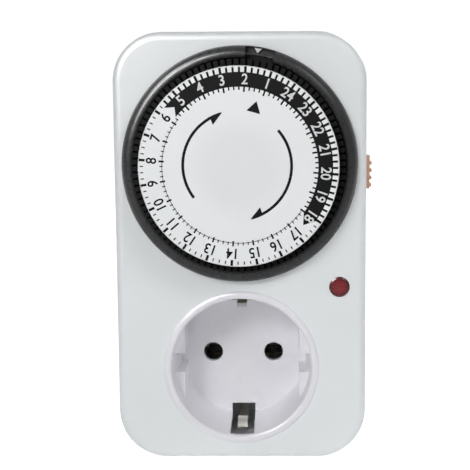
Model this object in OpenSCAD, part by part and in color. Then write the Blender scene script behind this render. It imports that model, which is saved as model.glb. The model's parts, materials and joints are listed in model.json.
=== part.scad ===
// Plug-in 24 hour timer switch with an earthed socket and a round plug.
// The front faces -Y, +Z is up. The origin is on the plug's axis, on the face that the pins stand on.

/* [Housing] */
// Width of the housing
body_w = 74; // [73:0.5:82]
// Height of the housing
body_h = 127; // [126:0.1:135]
// Depth of the housing, without the plug
body_d = 33; // [32.5:0.5:40]
// Radius of the corners seen from the front
corner_r = 14.5; // [10:0.5:15]
// Rounding of the front and rear edges
edge_r = 2.6; // [1:0.1:3]
// Wall thickness of both covers
wall = 2; // [1.6:0.1:2.4]
// Depth of the front cover
front_cover_d = 23; // [20:0.5:25]
// Distance from the lower edge to the socket's centre
socket_rise = 28.1; // [26:0.1:30]
// Distance from the socket's centre to the dial's centre
dial_rise = 60.4; // [60:0.1:62]

/* [Plug] */
// Length of the round plug body
plug_len = 17; // [16:0.5:20]
// Radius of the plug body
plug_r = 18.5; // [18:0.1:19]
// Thickness of the plug's face
plug_face_t = 3; // [2:0.1:4]
// Radius of a pin
pin_r = 2.4; // [2:0.1:2.4]
// Length of a pin
pin_len = 19; // [16:0.5:22]
// Distance between the two pins
pin_spacing = 19; // [18.5:0.1:19.5]

/* [Socket] */
// Radius of the socket's mouth
mouth_r = 20.8; // [20:0.1:21.2]
// Radius of the recess at its floor
floor_r = 19.5; // [19:0.1:19.9]
// Depth of the recess below the front face
recess_d = 17.5; // [15:0.5:18]
// Wall thickness of the cup
cup_wall = 1; // [0.8:0.1:1.2]
// Thickness of the cup's floor
cup_floor_t = 2; // [1.5:0.1:2.4]
// Width of the rim round the mouth
rim_w = 2.2; // [1.5:0.1:3]
// Height of the rim above the front face
rim_h = 0.9; // [0.6:0.1:1.5]
// Distance from the axis to each side ledge
ledge_x = 17.3; // [16:0.1:18]
// Depth of the ledges' tops below the front face
ledge_drop = 5; // [3:0.5:8]
// Width of the notch in each ledge
notch_w = 5.9; // [4:0.1:8]
// Radius of a pin hole
pin_hole_r = 3; // [2.7:0.1:3.2]
// Width of an earth slot
earth_slot_w = 7.2; // [5:0.1:8]
// Depth of an earth slot's outer end below the front face
earth_slot_drop = 0.6; // [0.4:0.1:3]

/* [Dial] */
// Radius of the white dial plate
dial_r = 28.3; // [28:0.1:28.6]
// Height of the dial plate above the front face
dial_h = 10; // [8:0.5:12]
// Thickness of the dial plate
dial_plate_t = 0.8; // [0.5:0.1:1.2]
// Height of the raised tappets above the front face
tappet_h = 7; // [6.5:0.1:7.5]
// Travel of a tappet
tappet_travel = 2.5; // [2:0.1:2.5]
// Radial size of a tappet
tappet_depth = 1.8; // [1.4:0.1:1.8]
// Width of a tappet along the rim
tappet_w = 1.3; // [1:0.05:1.35]
// Radius of the bezel's outer edge
bezel_r = 34.35; // [34:0.1:36]
// Height of the bezel above the front face
bezel_h = 4; // [3:0.1:4.5]
// Radius of the dial's axle
axle_r = 2; // [1.5:0.1:2.2]

/* [Indicator and slider] */
// Distance of the lens from the middle, to the right
lens_x = 29; // [27:0.1:30]
// Height of the lens above the socket's centre
lens_z = 24.25; // [22:0.1:26]
// Radius of the lens
lens_r = 3; // [2.5:0.1:3.5]
// Height of the slider's knob centre above the socket's centre
slider_z = 57.5; // [54:0.5:60]
// Depth of the knob's middle below the front face
knob_drop = 9.5; // [9:0.1:12]
// Length of the slider's knob
knob_len = 10; // [8:0.5:12]
// How far the knob stands out of the side
knob_out = 2; // [1.8:0.1:4]
// Travel of the slider
slider_travel = 4; // [3:0.5:5]

/* [Movement] */
// Size of the gear teeth: pitch diameter over teeth
gear_module = 0.5; // [0.48:0.01:0.5]
// Radius of the motor
motor_r = 17; // [15:0.5:17.5]
// Thickness of the motor
motor_t = 11.5; // [9:0.5:11.5]
// Radius of the gears' journals
journal_r = 0.75; // [0.6:0.05:0.9]

/* [Hidden] */
$fn = 96;
eps = 0.01;

// Clearances
fit = 0.05; // pieces that are pushed together or turn on each other
slot_gap = 0.1; // a tappet in its slot
free_gap = 0.4; // pieces that move past each other
turn_gap = 0.3; // pieces that turn or stand close to each other

// Places in the housing. y runs from the front face to the plug's face at 0.
front_y = -plug_len - body_d;
rear_y = -plug_len;
split_y = front_y + front_cover_d;
cover_in_y = front_y + wall;
rear_in_y = rear_y - wall;
body_mid_z = body_h / 2 - socket_rise;
corner_in_r = corner_r - wall;
side_in_x = body_w / 2 - wall;
floor_y = front_y + recess_d;
cup_back_y = floor_y + cup_floor_t;
cup_r = mouth_r + cup_wall;
dial_c = [0, dial_rise];
pin_x = pin_spacing / 2;

// Points in the plane of the front face: x to the right, z up, angles clockwise from the top
function dir(angle) = [sin(angle), cos(angle)];
function polar(c, r, angle) = c + r * dir(angle);
function plane_angle(from, to) = atan2(to.y - from.y, to.x - from.x);

// A flat shape, drawn as seen from the front, from y0 back to y1
module prism(y0, y1) translate([0, y1, 0]) rotate([90, 0, 0]) linear_extrude(y1 - y0) children();
// A shape whose own z is the height above the front face, centred on c
module on_front(c) translate([c.x, front_y, c.y]) rotate([90, 0, 0]) children();
// A box between two corners
module box(a, b) translate(a) cube(b - a);
// A round bar along y
module bar(c, r, y0, y1) translate([c.x, y1, c.y]) rotate([90, 0, 0]) cylinder(r = r, h = y1 - y0);

module rounded_rect(w, h, r) {
    square([w - 2 * r, h], center = true);
    square([w, h - 2 * r], center = true);
    for (sx = [-1, 1], sy = [-1, 1]) translate([sx * (w / 2 - r), sy * (h / 2 - r)]) circle(r);
}

// A slab with round corners and one rounded edge, on its upper side
module soft_slab(w, h, r, e, d) {
    module edge_profile() {
        difference() {
            square([r, d]);
            translate([r - e, d - e]) difference() {
                square(e + 1);
                circle(e);
            }
        }
    }
    module side(length) rotate([90, 0, 0]) linear_extrude(length, center = true) edge_profile();
    for (k = [0, 1]) {
        rotate(180 * k) translate([w / 2 - r, 0, 0]) side(h - 2 * r);
        rotate(90 + 180 * k) translate([h / 2 - r, 0, 0]) side(w - 2 * r);
        rotate(180 * k) translate([w / 2 - r, h / 2 - r, 0])
            rotate_extrude(angle = 90) edge_profile();
        rotate(180 * k) translate([-w / 2 + r, h / 2 - r, 0]) rotate(90)
            rotate_extrude(angle = 90) edge_profile();
    }
    translate([r - w / 2, r - h / 2, 0]) cube([w - 2 * r, h - 2 * r, d]);
}

// Screws of the housing
screw_inset = 8.3;
screw_x = body_w / 2 - screw_inset;
screw_zs = [-socket_rise + screw_inset, body_h - socket_rise - screw_inset];
screw_places = [for (sx = [-1, 1], z = screw_zs) [sx * screw_x, z]];
screw_shank_r = 1.25;
screw_head_r = 2.6;
screw_post_r = 3.2;
screw_head_t = 1.8;
screw_depth = 11;
screw_seat_y = rear_y - 5;

// Dial
tappet_in_r = dial_r + 0.2;
tappet_out_r = tappet_in_r + tappet_depth;
tappet_count = 96;
tappet_pitch = 360 / tappet_count;
first_hour_angle = 34.5; // angle of the hour 0 on the dial at rest, clockwise from the top
wheel_flange_r = tappet_out_r + 1.3;
flange_top = 1;
flange_t = 3;
opening_r = wheel_flange_r + free_gap;
wheel_wall = 1.8;
dial_gear_front = -6; // height of the gear's front above the front face
dial_gear_t = 3;
hub_r = 4.2;
hub_end = dial_gear_front - dial_gear_t + 0.2;
axle_top = dial_h - 3;

// Bezel
bezel_in_r = tappet_out_r + 0.3;
bezel_lip = flange_top + 0.5; // underside of the lip that holds the dial in
bezel_seat_r = opening_r + 0.3;
peg_r = 0.6;
peg_at_r = (bezel_seat_r + bezel_r) / 2;
peg_angles = [60, 150, 240, 330];
marker_angle = 10.7;
marker_span = 14.8;
window_in_r = bezel_r - 2.2;
window_floor = 1;
marker_t = 0.5;

// Gears
addendum = 0.7 * gear_module;
dedendum = gear_module;
backlash = 0.12;
pressure_angle = 20;
pinion_teeth = 12;
wheel_teeth = 48;
dial_teeth = 96;
function pitch_r(teeth) = teeth * gear_module / 2;
mesh_dist = pitch_r(pinion_teeth) + pitch_r(wheel_teeth);
clutch_c = polar(dial_c, pitch_r(pinion_teeth) + pitch_r(dial_teeth), 215);
wheel_tip_r = pitch_r(wheel_teeth) + addendum;
wheel_side_gap = 2.03; // between the third gear and the housing's side
motor_top_gap = 1.26; // between the motor and the housing's top
motor_x = 1.9;
// The place at the distance d from both a and b, to the left of the way from a to b
function elbow(a, b, d) =
    let (way = b - a, half = norm(way) / 2, rise = sqrt(d * d - half * half))
    (a + b) / 2 + rise * [-way.y, way.x] / norm(way);
// The place at the distance d above a, at the given x
function above(a, x, d) = [x, a.y + sqrt(d * d - (x - a.x) * (x - a.x))];
gear_3_c = above(clutch_c, wheel_tip_r + wheel_side_gap - side_in_x, mesh_dist);
gear_2_c = polar(gear_3_c, mesh_dist, 10);
rotor_c = [motor_x, body_h - socket_rise - wall - motor_top_gap - motor_r];
gear_1_c = elbow(gear_2_c, rotor_c, mesh_dist);

// Layers of the movement, from the front
plate_t = 1.5;
layer_t = 1.2;
layer_gap = 0.6;
front_plate_y = front_y - dial_gear_front + dial_gear_t + 0.6;
layer_a = front_plate_y + plate_t + 0.5;
layer_b = layer_a + layer_t + layer_gap;
layer_c = layer_b + layer_t + layer_gap;
back_plate_y = layer_c + layer_t + layer_gap;
motor_y = back_plate_y + plate_t + 0.2;
journal_front = front_plate_y + plate_t / 3;
journal_back = back_plate_y + plate_t * 2 / 3;
plate_side_x = side_in_x - 2;
plate_drop = 35.4; // from the dial's centre to the lower edge of the plates
plate_foot_z = dial_c.y - plate_drop;
plate_posts = [
    [3.5 - plate_side_x, gear_2_c.y + 12.3], [2 - plate_side_x, plate_foot_z + 6], [12, plate_foot_z + 2]
];
plate_post_r = 2.4;
plate_screw_r = 0.95;
plate_screw_depth = 5;
plate_outline = [
    [-plate_side_x, plate_foot_z + 3], [9 - plate_side_x, plate_foot_z], [14, plate_foot_z],
    [14, dial_c.y + 3.6], rotor_c + [4, 4.8], gear_1_c + [1, 6.7], [0.5 - plate_side_x, gear_2_c.y + 15.8]
];

// Trip lever and switch. The nose lies behind the tappets of the hour at the time mark.
nose_c = polar(dial_c, (tappet_in_r + tappet_out_r) / 2, 10);
nose_w = 3;
nose_gap = 0.4;
nose_z = nose_c.y;
lever_x = 22; // pivot of the lever
pressed_y = front_y - flange_top + flange_t + tappet_travel; // inner end of a pressed tappet
lever_y = pressed_y + 0.5;
lever_t = 2.1;
lever_h = 2.6;
pivot_y = lever_y + 0.5;
lever_hub_r = 1.6;
trip_pin_r = 0.75;
ear_t = 2;
ear_in = 3.05; // half the space between the ears
ear_r = 1.8;
ear_z0 = nose_z - ear_in - ear_t;
ear_z1 = nose_z + ear_in + ear_t;
blade_t = 0.4;
blade_y = lever_y + lever_t + turn_gap;
blade_w = 3.4;
blade_root_x = 24.2;
blade_tip_x = 9;
contact_x = 11;
contact_r = 1.2;
contact_t = 0.5;
fixed_blade_y = blade_y + blade_t + 2 * contact_t + 1.9;
fixed_t = 0.5;
base_y = fixed_blade_y + fixed_t;
base_t = 2.6;
base_x0 = 7;
base_x1 = 25.4;

// Strips and contacts
strip_t = 0.5;
leaf_gap = pin_r + fit; // half the space between two leaves
leaf_w = 5;
web_x = pin_x - leaf_w / 2 - strip_t; // inner side of a leaf pair
leaf_y0 = cup_back_y + 5.4;
leaf_y1 = floor_y + pin_len - 1;
stud_r = 2;
stud_tab_w = 2 * stud_r + 1.2;
pin_neck_r = pin_r - 0.4; // the face is moulded round this neck
pin_neck_top = 0.3;
pin_groove_d = 0.4; // the wider start of the hole round the neck
stud_tab_y = -8.9;
feed_x = 16.5; // centre of the strip from the fixed blade to the live pin
feed_w = 3;
feed_down_y = -24;
feed_turn_z = 33;
out_x = 22; // centre of the strip from the live contact to the moving blade
out_y = cup_back_y + 1.2;
out_turn_z = 25;
out_top_z = ear_z0 - 3.8;
earth_w = 2.9;
earth_t = 0.6;
earth_clip_z = 20.1; // leg of the clip
earth_bump_z = 17.2; // where the clip touches the plug
earth_low = 0.6; // the strap lies loose, so both clips hang this low
earth_slot_z = earth_bump_z - 0.6; // inner end of an earth slot
earth_back_y = rear_in_y - earth_t - free_gap;
earth_tip_y = front_y + 4.5;
earth_tip_len = 4; // from the tip to where the clip touches the plug
earth_bend_len = 5.5; // from there to the straight leg
earth_tip_out = 1.8; // how far the tip leans out
earth_side_z = plug_r - 0.7;

// One spur gear, flat, with a tooth centred on the angle phase
function inv_deg(a) = tan(a) * 180 / PI - a;
function half_tooth(teeth, r) =
    let (rp = pitch_r(teeth), rb = rp * cos(pressure_angle), rr = max(r, rb))
    90 / teeth - backlash / 4 / rp * 180 / PI + inv_deg(pressure_angle) - inv_deg(acos(rb / rr));
module gear_flat(teeth, phase) {
    rp = pitch_r(teeth);
    root = rp - dedendum;
    tip = rp + addendum;
    steps = [root, rp - addendum / 2, rp + addendum / 4, tip];
    polygon([
        for (k = [0:teeth - 1]) each concat(
            [for (r = steps) let (a = phase + k * 360 / teeth - half_tooth(teeth, r)) r * [cos(a), sin(a)]],
            [for (i = [len(steps) - 1:-1:0])
                let (r = steps[i], a = phase + k * 360 / teeth + half_tooth(teeth, r)) r * [cos(a), sin(a)]]
        )
    ]);
}
module gear(c, teeth, phase, y0, y1) prism(y0, y1) translate(c) gear_flat(teeth, phase);
// Phase of a driver whose tooth points at the driven gear, and of the driven gear whose gap takes it
function phase_tooth(from, to) = plane_angle(from, to);
function phase_gap(from, to, teeth) = plane_angle(from, to) + 180 / teeth;

// A round wire along a route, as one tube
function unit(v) = v / norm(v);
module tube(route, r, sides = 8) {
    n = len(route);
    tangents = [for (i = [0:n - 1]) unit(route[min(i + 1, n - 1)] - route[max(i - 1, 0)])];
    rings = [for (i = [0:n - 1])
        let (t = tangents[i], u = unit(cross(t, [0.1, 1, 0.07])), v = cross(t, u))
        [for (k = [0:sides - 1]) route[i] + r * (cos(k * 360 / sides) * u + sin(k * 360 / sides) * v)]];
    points = [for (ring = rings) each ring];
    walls = [for (i = [0:n - 2], k = [0:sides - 1]) each [
        [i * sides + k, i * sides + (k + 1) % sides, (i + 1) * sides + k],
        [i * sides + (k + 1) % sides, (i + 1) * sides + (k + 1) % sides, (i + 1) * sides + k]
    ]];
    start = [for (k = [1:sides - 2]) [0, k + 1, k]];
    last = (n - 1) * sides;
    end = [for (k = [1:sides - 2]) [last, last + k, last + k + 1]];
    polyhedron(points, concat(walls, start, end));
}

// ---------------------------------------------------------------- housing
slot_z0 = slider_z - knob_len / 2 - free_gap;
slot_z1 = slider_z + knob_len / 2 + slider_travel + free_gap;
knob_y = front_y + knob_drop;
knob_w = 5;
slide_w = 9;
slide_t = 1.6;
slide_x1 = side_in_x - 0.2;
slide_x0 = slide_x1 - slide_t;

module front_cover() color("#e3e6e6") {
    collar_d = 8;
    collar_r = cup_r + fit + 1.5;
    collar_notch_w = earth_slot_w + 1;
    rail_t = 0.8;
    rail_over = 6; // how far the rails reach past the slot
    difference() {
        union() {
            difference() {
                translate([0, split_y, body_mid_z]) rotate([90, 0, 0])
                    soft_slab(body_w, body_h, corner_r, edge_r, front_cover_d);
                prism(cover_in_y, split_y + 1) translate([0, body_mid_z])
                    rounded_rect(body_w - 2 * wall, body_h - 2 * wall, corner_in_r);
            }
            bar([0, 0], collar_r, cover_in_y - eps, front_y + collar_d);
            for (c = screw_places) bar(c, screw_post_r, cover_in_y - eps, split_y);
            for (c = plate_posts) bar(c, plate_post_r, cover_in_y - eps, front_plate_y);
            bar([lens_x, lens_z], lens_r + 0.6, front_y - 0.25, front_y + eps);
            for (s = [-1, 1])
                box([slide_x0 - 0.6, knob_y + s * (slide_w / 2 + 0.6) - rail_t / 2, slot_z0 - rail_over],
                    [side_in_x + eps, knob_y + s * (slide_w / 2 + 0.6) + rail_t / 2, slot_z1 + 4]);
        }
        bar([0, 0], cup_r + fit, front_y - 1, front_y + collar_d + 1);
        box([-collar_notch_w / 2, front_y + earth_slot_drop, -collar_r - 0.1],
            [collar_notch_w / 2, front_y + collar_d + 1, collar_r + 0.1]);
        bar(dial_c, opening_r, front_y - 1, cover_in_y + eps);
        bar([lens_x, lens_z], lens_r + fit, front_y - 1, cover_in_y + 1);
        for (c = screw_places) bar(c, screw_shank_r + fit, split_y - screw_depth - 1, split_y + 1);
        for (c = plate_posts)
            bar(c, plate_screw_r + fit, front_plate_y - plate_screw_depth - 0.5, front_plate_y + 1);
        for (a = peg_angles) bar(polar(dial_c, peg_at_r, a), peg_r + fit, front_y - 1, cover_in_y + 1);
        box([side_in_x - 1, knob_y - knob_w / 2 - turn_gap, slot_z0],
            [body_w / 2 + 1, knob_y + knob_w / 2 + turn_gap, slot_z1]);
    }
}

plug_cavity_r = plug_r - 3;
flat_x = ledge_x - 0.4; // the plug's flats pass the ledges of a socket like this one
flat_len = recess_d - ledge_drop;
module flats(x, y0, y1) prism(y0, y1) for (s = [-1, 1])
    translate([s * (x + plug_r), 0]) square([2 * plug_r, 3 * plug_r], center = true);
module rear_cover() color("#dfe2e2") {
    groove_w = 5;
    rear_d = body_d - front_cover_d;
    difference() {
        union() {
            difference() {
                translate([0, split_y, body_mid_z]) rotate([-90, 0, 0])
                    soft_slab(body_w, body_h, corner_r, edge_r, rear_d);
                prism(split_y - 1, rear_in_y) translate([0, body_mid_z])
                    rounded_rect(body_w - 2 * wall, body_h - 2 * wall, corner_in_r);
            }
            bar([0, 0], plug_r, rear_in_y, 0);
            for (c = screw_places) bar(c, screw_post_r, split_y, rear_in_y + eps);
        }
        difference() {
            bar([0, 0], plug_cavity_r, rear_in_y - 1, -plug_face_t);
            flats(flat_x - 2, -flat_len - 2, 1);
        }
        flats(flat_x, -flat_len, 1);
        for (s = [-1, 1]) {
            bar([s * pin_x, 0], pin_neck_r + fit, -plug_face_t - 1, 1);
            bar([s * pin_x, 0], pin_r + fit, -pin_groove_d, 1);
            box([-groove_w / 2, rear_y + 2, s > 0 ? earth_side_z : -plug_r - 1],
                [groove_w / 2, -1.5, s > 0 ? plug_r + 1 : -earth_side_z]);
            box([-groove_w / 2, rear_y + 2, s > 0 ? plug_cavity_r - 1 : -plug_r - 1],
                [groove_w / 2, rear_y + 4.4, s > 0 ? plug_r + 1 : -plug_cavity_r + 1]);
        }
        for (c = screw_places) {
            bar(c, screw_shank_r + 0.25, split_y - 1, rear_y + 1);
            bar(c, screw_head_r + turn_gap, screw_seat_y, rear_y + 1);
        }
    }
}

module screw(c, head_y, head_r, head_t, shank_r, length) difference() {
    union() {
        bar(c, head_r, head_y, head_y + head_t);
        bar(c, shank_r, head_y - length, head_y + eps);
    }
    for (turn = [0, 90]) prism(head_y + head_t * 0.4, head_y + head_t + 1) translate(c) rotate(turn)
        square([head_r * 1.3, head_r * 0.28], center = true);
}
module housing_screws() color("silver") for (c = screw_places)
    screw(c, screw_seat_y, screw_head_r, screw_head_t, screw_shank_r, screw_seat_y - split_y + screw_depth);

// ---------------------------------------------------------------- dial
module bezel_ring() color("#1c1d1f") difference() {
    crest_r = bezel_in_r + 0.9;
    foot_h = 0.5;
    union() {
        on_front(dial_c) rotate_extrude() polygon([
            [bezel_seat_r, 0], [bezel_r, 0],
            for (a = [0:10:90])
                [crest_r + (bezel_r - crest_r) * cos(a), foot_h + (bezel_h - foot_h) * sin(a)],
            [bezel_in_r + 0.25, bezel_h - 0.15],
            [bezel_in_r, bezel_h - 0.6], [bezel_in_r, bezel_lip], [bezel_seat_r, bezel_lip]
        ]);
        for (a = peg_angles) bar(polar(dial_c, peg_at_r, a), peg_r, front_y - eps, cover_in_y);
    }
    on_front(dial_c) translate([0, 0, window_floor + 0.7]) rotate(90 - marker_angle - marker_span / 2)
        rotate_extrude(angle = marker_span) translate([window_in_r, 0])
            square([bezel_r - window_in_r + 1, bezel_h]);
    on_front(dial_c) translate([0, 0, window_floor]) rotate(90 - marker_angle - marker_span / 2)
        rotate_extrude(angle = marker_span) translate([bezel_in_r - 1, 0])
            square([bezel_r - bezel_in_r + 1 - 0.4, bezel_h]);
}

module time_marker() color("white") on_front(dial_c)
    translate([0, 0, window_floor]) linear_extrude(marker_t) rotate(-marker_angle + 1.2)
        translate([0, window_in_r + 0.25]) polygon([[0, 0], [1.05, 1.4], [-1.05, 1.4]]);

module dial_plate() color("white") on_front(dial_c) rotate_extrude() polygon([
    [0, dial_h - dial_plate_t], [dial_r, dial_h - dial_plate_t], [dial_r, dial_h - 0.25],
    [dial_r - 0.25, dial_h], [0, dial_h]
]);

module dial_wheel() color("#18191b") {
    top = dial_h - dial_plate_t;
    skirt_r = dial_r - 0.1;
    flange_bottom = flange_top - flange_t;
    difference() {
        on_front(dial_c) rotate_extrude() polygon([
            [0, top], [skirt_r, top], [skirt_r, flange_top], [wheel_flange_r, flange_top],
            [wheel_flange_r, flange_bottom], [skirt_r - wheel_wall, flange_bottom],
            [skirt_r - wheel_wall, top - 1.6], [hub_r, top - 1.6], [hub_r, hub_end],
            [axle_r + fit, hub_end], [axle_r + fit, axle_top + turn_gap], [0, axle_top + turn_gap]
        ]);
        on_front(dial_c) for (k = [0:tappet_count - 1]) rotate((k + 0.5) * tappet_pitch - first_hour_angle)
            translate([-tappet_w / 2 - slot_gap, tappet_in_r - slot_gap, flange_bottom - 1])
                cube([tappet_w + 2 * slot_gap, tappet_depth + 2 * slot_gap, flange_t + 2]);
    }
}

module dial_gear() color("#ded9cc") difference() {
    y0 = front_y - dial_gear_front;
    gear(dial_c, dial_teeth, phase_gap(dial_c, clutch_c, dial_teeth), y0, y0 + dial_gear_t);
    bar(dial_c, hub_r + fit / 2, y0 - 1, y0 + dial_gear_t + 1);
    for (a = [0:60:300]) bar(polar(dial_c, 13.5, a), 4.5, y0 - 1, y0 + dial_gear_t + 1);
}

module dial_axle() color("silver") {
    bar(dial_c, axle_r, front_y - axle_top, back_plate_y + plate_t);
    bar(dial_c, axle_r + 1.2, front_plate_y - 0.35, front_plate_y);
}

// The four tappets of the quarter hours before the hour
module tappets(hour) color("#232426") on_front(dial_c) for (quarter = [0:3])
    rotate((4 * (hour - 1) + quarter + 0.5) * tappet_pitch - first_hour_angle)
        translate([-tappet_w / 2, tappet_in_r, flange_top - flange_t])
            cube([tappet_w, tappet_depth, tappet_h - flange_top + flange_t]);

// ---------------------------------------------------------------- movement
module plate_shape() difference() {
    union() {
        polygon(plate_outline);
        for (c = plate_posts) translate(c) circle(plate_post_r + 1);
    }
    for (c = plate_posts) translate(c) circle(plate_screw_r + fit);
    for (c = [gear_1_c, gear_2_c, gear_3_c, rotor_c]) translate(c) circle(journal_r + fit);
    translate(dial_c) circle(axle_r + fit / 2);
}
clutch_r = 1.5;
module front_plate() color("#c9b27a") prism(front_plate_y, front_plate_y + plate_t) difference() {
    plate_shape();
    translate(clutch_c) circle(clutch_r + fit);
}
module back_plate() color("#c9b27a") {
    prism(back_plate_y, back_plate_y + plate_t) difference() {
        plate_shape();
        translate(clutch_c) circle(journal_r + fit);
    }
    for (c = plate_posts) difference() {
        bar(c, plate_post_r, front_plate_y + plate_t, back_plate_y + eps);
        bar(c, plate_screw_r + fit, front_plate_y + plate_t - 1, back_plate_y + 1);
    }
}
module movement_screws() color("silver") for (c = plate_posts)
    screw(c, back_plate_y + plate_t, 1.9, 1.1, plate_screw_r,
        back_plate_y + plate_t - front_plate_y + plate_screw_depth);

pinion_over = 0.15; // a pinion is a little longer than the wheel it drives
module arbor(c) bar(c, journal_r, journal_front, journal_back);
module gear_1() color("#e9e4d4") {
    arbor(gear_1_c);
    gear(gear_1_c, wheel_teeth, phase_gap(gear_1_c, rotor_c, wheel_teeth), layer_a, layer_a + layer_t);
    bar(gear_1_c, 2, layer_a + layer_t - eps, layer_c);
    gear(gear_1_c, pinion_teeth, phase_tooth(gear_1_c, gear_2_c), layer_c - pinion_over,
        layer_c + layer_t + pinion_over);
}
module gear_2() color("#e9e4d4") {
    arbor(gear_2_c);
    gear(gear_2_c, wheel_teeth, phase_gap(gear_2_c, gear_1_c, wheel_teeth), layer_c, layer_c + layer_t);
    gear(gear_2_c, pinion_teeth, phase_tooth(gear_2_c, gear_3_c), layer_b - pinion_over, layer_c + eps);
}
module gear_3() color("#e9e4d4") {
    arbor(gear_3_c);
    gear(gear_3_c, wheel_teeth, phase_gap(gear_3_c, gear_2_c, wheel_teeth), layer_b, layer_b + layer_t);
    gear(gear_3_c, pinion_teeth, phase_tooth(gear_3_c, clutch_c), layer_a - pinion_over, layer_b + eps);
}
module clutch_wheel() color("#d9a05c") difference() {
    gear(clutch_c, wheel_teeth, phase_gap(clutch_c, gear_3_c, wheel_teeth), layer_a, layer_a + layer_t);
    bar(clutch_c, clutch_r + fit, layer_a - 1, layer_a + layer_t + 1);
}
module clutch_pinion() color("silver") {
    y0 = front_y - dial_gear_front;
    gear(clutch_c, pinion_teeth, phase_tooth(clutch_c, dial_c), y0 - pinion_over, front_plate_y - 0.3);
    bar(clutch_c, clutch_r, front_plate_y - 0.3 - eps, layer_b);
    bar(clutch_c, 2.2, layer_a + layer_t + 0.15, layer_b);
    bar(clutch_c, journal_r, layer_b - eps, journal_back);
}

can_t = 0.6;
coil_r = motor_r - can_t - 0.6;
magnet_r = 7;
module motor_housing() color("#b9bcc0") difference() {
    bar(rotor_c, motor_r, motor_y, motor_y + motor_t);
    bar(rotor_c, motor_r - can_t, motor_y + can_t, motor_y + motor_t - can_t);
    bar(rotor_c, journal_r + 0.4, motor_y - 1, motor_y + can_t + 1);
    bar(rotor_c, journal_r + fit, motor_y + motor_t - can_t - 1, motor_y + motor_t + 1);
}
module motor_coil() color("#b4602e") difference() {
    bar(rotor_c, coil_r, motor_y + can_t + 0.4, motor_y + motor_t - can_t - 0.4);
    bar(rotor_c, magnet_r + 1, motor_y, motor_y + motor_t);
}
module motor_rotor() color("#55585c") {
    bar(rotor_c, journal_r, journal_front, motor_y + motor_t - 0.1);
    bar(rotor_c, magnet_r, motor_y + can_t + 1, motor_y + motor_t - can_t - 1);
    gear(rotor_c, pinion_teeth, phase_tooth(rotor_c, gear_1_c), layer_a - pinion_over,
        layer_a + layer_t + pinion_over);
}

lead_r = 0.6;
motor_bottom = rotor_c.y - motor_r;
lead_y = feed_down_y - lead_r;
neutral_lead = [
    [-6, lead_y, motor_bottom + 1.2], [-6.4, lead_y, 56], [-8, lead_y, 48], [-10, lead_y, 38],
    [-10.5, lead_y, 26], [-9.5, lead_y, 15], [-web_x - strip_t / 2, lead_y, 8],
    [-web_x - strip_t / 2, lead_y, leaf_gap + strip_t]
];
live_lead = [
    [8, lead_y, motor_bottom + 2], [9, lead_y, 55], [12, lead_y, 47], [feed_x, lead_y, 39],
    [feed_x, lead_y, feed_turn_z + strip_t]
];
module motor_leads() color("#3b6fb0") {
    difference() {
        union() {
            tube(neutral_lead, lead_r);
            tube(live_lead, lead_r);
        }
        bar(rotor_c, motor_r, motor_y - 1, motor_y + motor_t + 1);
    }
}

// ---------------------------------------------------------------- switch
module along_z(x, y, r, z0, z1) translate([x, y, z0]) cylinder(r = r, h = z1 - z0);
module switch_base() color("#3a3d42") difference() {
    union() {
        box([base_x0, base_y, ear_z0], [base_x1, base_y + base_t, ear_z1]);
        for (z = [ear_z0, nose_z + ear_in]) {
            along_z(lever_x, pivot_y, ear_r, z, z + ear_t);
            box([lever_x - ear_r, pivot_y, z], [lever_x + ear_r, base_y + eps, z + ear_t]);
        }
    }
    along_z(lever_x, pivot_y, trip_pin_r + fit / 2, ear_z0 - 1, ear_z1 + 1);
}
module trip_pin() color("silver") along_z(lever_x, pivot_y, trip_pin_r, ear_z0, ear_z1);
module trip_lever() color("#d4552a") difference() {
    union() {
        along_z(lever_x, pivot_y, lever_hub_r, nose_z - ear_in + 0.2, nose_z + ear_in - 0.2);
        box([nose_c.x - nose_w / 2, lever_y, nose_z - lever_h / 2],
            [lever_x, lever_y + lever_t, nose_z + lever_h / 2]);
        box([nose_c.x - nose_w / 2, pressed_y - tappet_travel + nose_gap, nose_z - 1.1],
            [nose_c.x + nose_w / 2, lever_y + eps, nose_z + 1.1]);
    }
    along_z(lever_x, pivot_y, trip_pin_r + fit, nose_z - 5, nose_z + 5);
}
module moving_blade() color("#c98b4a") {
    box([blade_tip_x, blade_y, nose_z - blade_w / 2],
        [blade_root_x + 0.6, blade_y + blade_t, nose_z + blade_w / 2]);
    bar([contact_x, nose_z], contact_r, blade_y + blade_t - eps, blade_y + blade_t + contact_t);
}
module fixed_blade() color("#c98b4a") {
    x0 = feed_x - feed_w / 2;
    x1 = feed_x + feed_w / 2;
    box([blade_tip_x, fixed_blade_y, nose_z - blade_w / 2], [x1, base_y, nose_z + blade_w / 2]);
    bar([contact_x, nose_z], contact_r, fixed_blade_y - contact_t, fixed_blade_y + eps);
    box([x0, fixed_blade_y, feed_turn_z], [x1, base_y, nose_z]);
    box([x0, fixed_blade_y, feed_turn_z], [x1, feed_down_y + strip_t, feed_turn_z + strip_t]);
    box([x0, feed_down_y, -1.5], [x1, feed_down_y + strip_t, feed_turn_z + strip_t]);
    turn_x = pin_x + leaf_w / 2 + 1.2;
    box([turn_x, feed_down_y, -1.5], [x1, feed_down_y + strip_t, 1.5]);
    box([turn_x, feed_down_y, -1.5], [turn_x + strip_t, stud_tab_y + strip_t, 1.5]);
    difference() {
        box([pin_x - stud_tab_w / 2, stud_tab_y, -stud_tab_w / 2],
            [turn_x + strip_t, stud_tab_y + strip_t, stud_tab_w / 2]);
        bar([pin_x, 0], stud_r + fit / 2, stud_tab_y - 1, stud_tab_y + 1);
    }
}

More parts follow.
